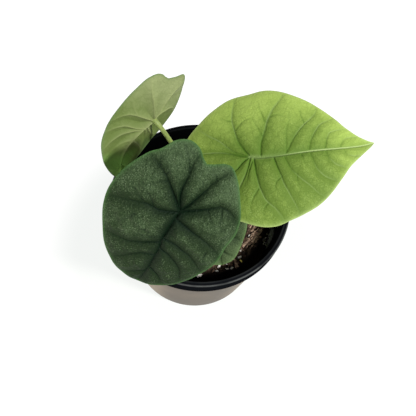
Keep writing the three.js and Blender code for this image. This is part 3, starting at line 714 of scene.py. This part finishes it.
def blade_points(leaf, flat, lift):
    """The points of the arched blade at these flat ones, lifted off its middle sheet."""
    along, across, up = blade_axes(leaf)
    turn = flat[:, 0] / leaf["bend"]
    w = flat[:, 1]
    height = leaf["fold"] * (np.hypot(w, SOFT_FOLD) - SOFT_FOLD) - w * w / (2 * leaf["cross"]) + lift
    ahead = (leaf["bend"] + height) * np.sin(turn)
    above = (leaf["bend"] + height) * np.cos(turn) - leaf["bend"]
    return np.array(leaf["junction"]) + np.outer(ahead, along) + np.outer(w, across) + np.outer(above, up)


def smooth_line(points, count=240):
    """An even run of points on a smooth curve through these."""
    p = np.array(points, float)
    p = np.vstack((2 * p[0] - p[1], p, 2 * p[-1] - p[-2]))
    t = np.linspace(0, 1, 13)[:-1, None]
    runs = []
    for a, b, c, d in zip(p, p[1:], p[2:], p[3:]):
        bent = 2 * a - 5 * b + 4 * c - d
        runs.append(0.5 * (2 * b + (c - a) * t + bent * t ** 2 + (3 * b - a - 3 * c + d) * t ** 3))
    line = np.vstack((*runs, p[-2:-1]))
    walked = np.append(0, np.cumsum(np.linalg.norm(np.diff(line, axis=0), axis=1)))
    even = np.linspace(0, walked[-1], count)
    return np.column_stack((np.interp(even, walked, line[:, 0]), np.interp(even, walked, line[:, 1])))


def on_line(line, share):
    """The points at these shares of an even line's length."""
    at = np.clip(share, 0, 1) * (len(line) - 1)
    steps = np.arange(len(line))
    return np.column_stack((np.interp(at, steps, line[:, 0]), np.interp(at, steps, line[:, 1])))


def nearest(flat, line):
    """How far each flat point is from the line, and at what share of its length."""
    away = np.full(len(flat), 1e9)
    along = np.zeros(len(flat))
    for k, (a, b) in enumerate(zip(line, line[1:])):
        step = b - a
        share = np.clip(((flat - a) @ step) / (step @ step + 1e-12), 0, 1)
        here = np.hypot(*(flat - a - share[:, None] * step).T)
        closer = here < away
        away[closer] = here[closer]
        along[closer] = ((k + share) / (len(line) - 1))[closer]
    return away, along


def half_blade(leaf, side, x, t):
    """Flat points of one half: x runs from the tip's end to the notch's, t from the midrib to the margin.

    Returns them with the wave of the margin, the margin, the midrib and the main veins.
    """
    midrib = smooth_line(leaf["midrib"])
    tip = leaf["midrib"][-1]
    margin = smooth_line([tip, *leaf[side], leaf["notch"]], MARGIN_POINTS)
    veins = leaf[side + "_veins"]
    roots = np.array([tip[0], *[root for root, _, _ in veins], 0.0]) / tip[0]
    ends = np.array([0, *[end for _, end, _ in veins], 1.0])
    lines = [np.repeat([tip], VEIN_POINTS, 0).astype(float)]
    for (_, end, between), root in zip(veins, roots[1:]):
        start = on_line(midrib, np.array([root]))[0]
        stop = on_line(margin, np.array([end]))[0]
        lines.append(smooth_line([start, *between, stop], VEIN_POINTS))
    lines.append(smooth_line([midrib[0], leaf["notch"]], VEIN_POINTS))
    panel = np.minimum((x * (len(lines) - 1)).astype(int), len(lines) - 2)
    share = x * (len(lines) - 1) - panel
    flat = np.zeros((len(x), 2))
    for k in range(len(lines) - 1):
        mine = panel == k
        s, v = share[mine][:, None], t[mine]
        first, second = on_line(lines[k], v), on_line(lines[k + 1], v)
        root = on_line(midrib, roots[k] + (roots[k + 1] - roots[k]) * s[:, 0])
        end = on_line(margin, ends[k] + (ends[k + 1] - ends[k]) * s[:, 0])
        mend_root = root - (1 - s) * lines[k][0] - s * lines[k + 1][0]
        mend_end = end - (1 - s) * lines[k][-1] - s * lines[k + 1][-1]
        flat[mine] = (1 - s) * first + s * second + (1 - v[:, None]) * mend_root + v[:, None] * mend_end
    around = ends[panel] + (ends[panel + 1] - ends[panel]) * share
    wave = MARGIN_WAVE * t ** 3 * np.sin(2 * math.pi * MARGIN_WAVES * around)
    return flat, wave, margin, midrib, lines[1:-1]


def bell(away, width):
    """1 on a line, about a third at this width from it, and next to nothing at twice the width."""
    return np.exp(-(away / width) ** 2)


def vein_relief(leaf, flat, midrib, veins):
    """How deep each flat point lies, from 0 to 1, in the wide valleys and in the narrow grooves, how far it
    is up a pillow between them, how much painted shade the valleys and the pit at the junction give it,
    and how much it is on a vein's pale crest, which is partly the vein's own colour and partly painted
    highlight.
    """
    from_junction = np.hypot(*flat.T)
    close = bell(from_junction, 18)
    away, along = nearest(flat, midrib[::4])
    valley = (1 - 0.65 * along) * bell(away, 3)
    groove = (1 - 0.5 * along) * bell(away, 0.6)
    # Painted shade along the valleys and in the pit at the junction.
    shade = np.maximum((1 - 0.6 * along) * bell(away, 5), 1.3 * bell(from_junction, 3.5))
    # Pale crests: partly the veins' own colour and partly painted highlight.
    crest = np.clip(2 * along, 0, 1) * bell(away, 0.42)
    crest = np.maximum(crest, 0.4 * bell(along, 0.22) * bell(away, 1.1))
    free = away
    for line in veins:
        away, along = nearest(flat, line[::3])
        strength = min(1, np.ptp(line, axis=0).max() / leaf["full"])
        fading = (1 - 0.7 * along) * strength
        valley = np.maximum(valley, (0.35 + 0.65 * close) * fading * bell(away, 2.4))
        groove = np.maximum(groove, 0.9 * strength * (1 - 0.75 * along ** 2) * bell(away, 0.5))
        shade = np.maximum(shade, (0.45 + 0.55 * close) * (1 - 0.4 * along) * fading * bell(away, 3.2))
        pale = np.clip(3 * along - 0.7, 0, 1) * (1 - along ** 4)
        crest = np.maximum(crest, 0.35 * pale * bell(away, 0.36))
        free = np.minimum(free, away + 1.5 * along ** 4)
    for points in leaf["thin"]:
        away, along = nearest(flat, smooth_line(points, 10))
        valley = np.maximum(valley, 0.2 * (1 - along) * bell(away, 1.3))
        groove = np.maximum(groove, 0.75 * (1 - 0.8 * along) * bell(away, 0.45))
        shade = np.maximum(shade, 0.3 * (1 - along) * bell(away, 1.5))
    return valley, groove, 1 - np.exp(-(free / 4.5) ** 1.3), shade, crest


def blade_mesh(leaf, columns, upper, under):
    """The closed blade: each half is one grid that runs out on the upper face and back beneath.

    The margin is rounded, and the quilting and the veins fade out towards it.
    """
    bm = bmesh.new()
    names = ("u", "w", "vein", "valley", "pillow", "shade", "crest", "margin", "under")
    layers = [bm.verts.layers.float.new(key) for key in names]
    rows = upper + ROUND_ROWS + under
    for side in ("left", "right"):
        made = bmesh.ops.create_grid(bm, x_segments=columns, y_segments=rows, size=0.5)["verts"]
        x = np.array([vert.co.x for vert in made]) + 0.5
        y = np.round((np.array([vert.co.y for vert in made]) + 0.5) * rows)
        t = np.where(y < upper, y / upper, np.where(y > rows - under, (rows - y) / under, 1))
        rounded = np.cos(math.pi * (y - upper) / ROUND_ROWS)
        face = np.where(y <= upper, 1, np.where(y >= rows - under, -1, rounded))
        x = np.round(x * columns) / columns
        flat, wave, margin, midrib, veins = half_blade(leaf, side, x, t)
        valley, groove, pillow, shade, crest = vein_relief(leaf, flat, midrib, veins)
        to_margin = nearest(flat, margin[::2])[0]
        ripple = np.array([noise.noise((u * 0.2, w * 0.2, 0)) + 0.5 * noise.noise((u * 0.45, w * 0.45, 9))
                           for u, w in flat])
        calm = 1 - t ** 5
        lift = wave + pillow * (leaf["quilt"] * (0.2 + 0.8 * calm) + leaf["ripple"] * ripple * calm)
        lift -= leaf["valley"] * valley * (0.4 + 0.6 * calm)
        half = leaf["thickness"] / 2 * (0.3 + 0.7 * (1 - np.exp(-to_margin / 3)))
        rib = leaf["rib"] * (0.55 * groove * (1 - 0.7 * t) + 0.7 * valley)
        sunk = np.where(face > 0, leaf["groove"] * groove, rib) * (1 - np.exp(-to_margin / 1.5))
        edge = np.exp(-to_margin / 0.8)
        values = np.column_stack((flat, groove, valley, pillow, shade, crest, edge, (1 - face) / 2))
        for vert, point, row in zip(made, blade_points(leaf, flat, lift + face * half - sunk), values):
            vert.co = point
            for layer, value in zip(layers, row):
                vert[layer] = value
    bmesh.ops.remove_doubles(bm, verts=bm.verts, dist=0.01)
    bmesh.ops.recalc_face_normals(bm, faces=bm.faces)
    return bm


def leaf_finish(name, trend, dark, light, groove, crest, under_trend, under_dark, under, rib, edge, pebble,
                glint_amount, glint_colour, pit_shade, grain, mottle, net, pillow_light, valley_shade, crest_highlight, gloss,
                painted_through_light=None, through_light_colour=None, painted_shadow=None):
    """Waxy leaf skin: dark in the grooves, partly pigment and partly painted shade, netted and pebbled
    between them, with a thin margin of its own colour that is partly painted light. Painted shade lies along
    the veins and valleys and in the pits between the pebbles, with painted glints on the pebbles, painted
    light on the pillows and pale crests that are partly painted highlight.

    trend and under_trend say how the colour runs from dark to light over the blade's u and w: partly the
    leaf's own tone and partly painted light and shade. The last three arguments say where the underside is
    painted greener, as light shining through it in shade, and where a painted shadow darkens it.
    """
    finish, at = new_finish(name)
    u, w = at.attribute("u"), at.attribute("w")
    flat = at.node("ShaderNodeCombineXYZ", {}, {"X": u, "Y": w})
    beneath = at.attribute("under").between(0.4, 0.6)
    vein, valley = at.attribute("vein"), at.attribute("valley")
    clouds = flat.noise(0.17, 5, 0.62)
    warped = flat.node("ShaderNodeVectorMath", {"operation": "MULTIPLY_ADD"},
                       {0: flat.node("ShaderNodeTexNoise", {}, {"Vector": flat, "Scale": 0.25}, "Color"),
                        1: (5, 5, 0), 2: flat})
    meshes = warped.cells(0.3, "DISTANCE_TO_EDGE").between(0, 0.16)
    pebbles = flat.cells(1.05)
    grit = flat.noise(1.5, 2, 0.6)
    # The trend is partly the leaf's own tone and partly painted light and shade.
    shade = trend(u, w) + (clouds - 0.5) * mottle + (grit - 0.5) * grain
    # Painted light: the pillows between the veins are lighter towards their middles.
    shade = shade + (meshes - 0.75) * net + (at.attribute("pillow") - 0.6) * pillow_light
    # Painted highlights: pale glints on the pebbles, on the pillows between the veins.
    glints = grit.between(0.54, 0.68) * clouds.between(0.38, 0.62) * glint_amount
    tone = (glints * at.attribute("pillow")).mix(shade.mix(dark, light), glint_colour)
    # Painted shade: the pits between the pebbles are darkened towards the groove colour.
    tone = (pebbles.between(0.4, 0.65) * pit_shade).mix(tone, groove)
    # Dark grooves, partly pigment and partly painted shade, and painted shade along the veins and valleys.
    upper = (vein * 0.75 + at.attribute("shade") * valley_shade).mix(tone, groove)
    # Pale crests: partly the veins' own colour and partly painted highlight.
    upper = (at.attribute("crest") * crest_highlight).mix(upper, crest)
    lower = (under_trend(u, w) + (clouds - 0.5) * 0.6 + (meshes - 0.75) * 0.1).mix(under_dark, under)
    lower = (vein * 0.4 + valley * 0.3).mix(lower, rib)
    # On the back leaf's underside: painted light shining through it, greener, where the front leaf shades it,
    # and a painted shadow beside that.
    if painted_through_light:
        lower = painted_shadow(u, w).mix(painted_through_light(u, w).mix(lower, through_light_colour), groove)
    bumps = (1 - pebbles) * (1 - beneath * 0.9) * pebble + meshes * net * 2 + grit * 0.6 * pebble
    bumps = bumps + vein * (beneath * 1.6 - 0.9)
    # A thin margin colour: partly the leaf's own edge and partly painted light where the edge turns down.
    dress(finish, relief=bumps, depth=0.0003,
          Base_Color=(at.attribute("margin") * 0.8).mix(beneath.mix(upper, lower), edge),
          Roughness=0.45 + grit * 0.3, Specular_IOR_Level=gloss)
    return finish


# The trends are partly each leaf's own tone and partly painted light and shade. On the right leaf it is
# painted lighter over the upper half and towards the tip, on the small leaf towards its tip. The back leaf's
# underside is paler towards its notch, partly painted sheen.
SKINS = {
    "front": dict(
        trend=lambda u, w: u.between(10, -32) * 0.45 + u.between(42, 18) * 0.32 - w.between(-16, -34) * 0.12
        + w.between(4, 16) * u.between(-8, -20) * 0.25 - 0.12,
        dark=(0.013, 0.026, 0.008, 1), light=(0.05, 0.082, 0.034, 1), groove=(0.002, 0.009, 0.003, 1),
        crest=(0.1, 0.14, 0.07, 1), under_trend=lambda u, w: u.between(0, -30),
        under_dark=(0.1, 0.14, 0.05, 1), under=(0.16, 0.21, 0.09, 1),
        rib=(0.24, 0.29, 0.14, 1), edge=(0.055, 0.135, 0.036, 1), pebble=1.1, glint_amount=1,
        glint_colour=(0.13, 0.18, 0.1, 1), pit_shade=0.25, grain=2.4, mottle=1.3, net=0.2, pillow_light=0.9, valley_shade=1,
        crest_highlight=0, gloss=0.08),
    "right": dict(
        trend=lambda u, w: (w - u * 0.15).between(0, 42) * (0.75 + u.between(-20, 5) * 0.2)
        + u.between(15, 65) * w.between(-24, 5) * 0.5 + u.between(40, 62) * 0.4 + 0.07,
        dark=(0.105, 0.17, 0.026, 1), light=(0.3, 0.41, 0.082, 1), groove=(0.06, 0.125, 0.013, 1),
        crest=(0.4, 0.5, 0.2, 1), under_trend=lambda u, w: u.between(0, 60),
        under_dark=(0.2, 0.27, 0.1, 1), under=(0.27, 0.34, 0.13, 1),
        rib=(0.4, 0.46, 0.22, 1), edge=(0.34, 0.44, 0.15, 1), pebble=0.25, glint_amount=0.25,
        glint_colour=(0.42, 0.52, 0.22, 1), pit_shade=0.05, grain=0.6, mottle=0.5, net=0.12, pillow_light=0.35, valley_shade=0.5,
        crest_highlight=0.8, gloss=0.08),
    "back": dict(
        trend=lambda u, w: u.between(0, -30), dark=(0.03, 0.06, 0.018, 1), light=(0.07, 0.11, 0.045, 1),
        groove=(0.01, 0.03, 0.008, 1), crest=(0.2, 0.27, 0.12, 1), under_trend=lambda u, w: u.between(8, -26),
        under_dark=(0.1, 0.14, 0.036, 1), under=(0.235, 0.27, 0.12, 1),
        rib=(0.27, 0.3, 0.13, 1), edge=(0.1, 0.16, 0.06, 1), pebble=0.5, glint_amount=0.1,
        glint_colour=(0.2, 0.27, 0.12, 1), pit_shade=0.1, grain=1, mottle=0.6, net=0.1, pillow_light=0.3, valley_shade=0.5,
        crest_highlight=0, gloss=0.08,
        # Painted light through the blade where it lies in shade, and a painted shadow.
        painted_through_light=lambda u, w: (u - w * 0.37).between(17, 25) * w.between(-9, 2), through_light_colour=(0.14, 0.27, 0.055, 1),
        painted_shadow=lambda u, w: w.between(-5, -11) * u.between(9, 16) * 0.6),
    "small": dict(
        trend=lambda u, w: (w * w).between(0, 300) * 0.25 + u.between(18, 33) * 0.9 + 0.25,
        dark=(0.02, 0.035, 0.014, 1), light=(0.08, 0.12, 0.05, 1), groove=(0.008, 0.02, 0.006, 1),
        crest=(0.1, 0.14, 0.07, 1), under_trend=lambda u, w: u.between(0, -15),
        under_dark=(0.1, 0.14, 0.05, 1), under=(0.16, 0.21, 0.09, 1),
        rib=(0.24, 0.29, 0.14, 1), edge=(0.12, 0.2, 0.07, 1), pebble=0.8, glint_amount=0.5,
        glint_colour=(0.14, 0.2, 0.1, 1), pit_shade=0.15, grain=1.8, mottle=1, net=0.1, pillow_light=0.4, valley_shade=0.5,
        crest_highlight=0, gloss=0.06),
}
# The columns between two veins, and the rows on the upper and the lower face of each half.
MESHES = {"front": (26, 130, 40), "right": (25, 130, 40), "back": (28, 40, 120), "small": (24, 90, 30)}
for name, leaf in LEAVES.items():
    per_panel, upper, under = MESHES[name]
    bm = blade_mesh(leaf, per_panel * (len(leaf["left_veins"]) + 1), upper, under)
    blade = new_piece(f"blade_{name}_fine", bm, leaf_finish(f"leaf_{name}", **SKINS[name]))
    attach(blade, "root")
    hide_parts(f"blade_{name}")

# Stalks
# Fleshy round leaf stalks. Each stands on the corm's crown, tapers upwards in one smooth sweep and runs
# into the ribs under its blade.
STALK_CIRCLE = 5.2
STALK_SIDES = 20
STALK_STEPS = 56
green, at = new_finish("stalk_green")
stripes = at.stretched((1, 1, 0.12)).noise(900, 3, 0.6)
skin = at.along("Z").between(0.071, 0.095).mix((0.26, 0.21, 0.11, 1), (0.2, 0.25, 0.07, 1))
dress(green, relief=stripes, depth=0.0002,
      Base_Color=(stripes.between(0.45, 0.7) * 0.5).mix(skin, (0.1, 0.16, 0.035, 1)),
      Roughness=0.45, Specular_IOR_Level=0.25)
for name, leaf in LEAVES.items():
    stalk = leaf["stalk"]
    up = Vector(blade_axes(leaf)[2])
    angle = math.radians(stalk["angle"])
    start = Vector((PLANT_CENTRE[0] + STALK_CIRCLE * math.cos(angle),
                    PLANT_CENTRE[1] + STALK_CIRCLE * math.sin(angle), CORM_TOP))
    end = Vector(leaf["junction"]) - up * (0.7 + leaf["valley"])
    bend_a = start + Vector(stalk["lean"])
    bend_b = end - up * stalk["approach"]
    bm = bmesh.new()
    made = bmesh.ops.create_grid(bm, x_segments=STALK_SIDES, y_segments=STALK_STEPS, size=0.5)["verts"]
    side = Vector((math.cos(angle), math.sin(angle), 0))
    rings = []
    for k in range(STALK_STEPS + 1):
        t = k / STALK_STEPS
        s = 1 - t
        centre = start * s ** 3 + bend_a * 3 * s * s * t + bend_b * 3 * s * t * t + end * t ** 3
        heading = (bend_a - start) * s * s + (bend_b - bend_a) * 2 * s * t + (end - bend_b) * t * t
        heading.normalize()
        side = (side - heading * side.dot(heading)).normalized()
        radius = stalk["foot"] + (stalk["top"] - stalk["foot"]) * math.sqrt(t)
        to_end = (end - centre).length
        radius += 0.45 * math.exp(-(to_end / 7) ** 2) + 0.6 * math.exp(-to_end / 1.3)
        rings.append((centre, side.copy(), heading.cross(side), radius))
    for vert in made:
        centre, first, second, radius = rings[round((vert.co.y + 0.5) * STALK_STEPS)]
        turn = 2 * math.pi * (vert.co.x + 0.5)
        vert.co = centre + radius * (first * math.cos(turn) + second * math.sin(turn))
    bmesh.ops.remove_doubles(bm, verts=bm.verts, dist=0.01)
    bmesh.ops.holes_fill(bm, edges=bm.edges, sides=0)
    bmesh.ops.recalc_face_normals(bm, faces=bm.faces)
    stem = new_piece(f"stalk_{name}_fine", bm, green)
    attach(stem, "root")
    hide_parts(f"stalk_{name}")
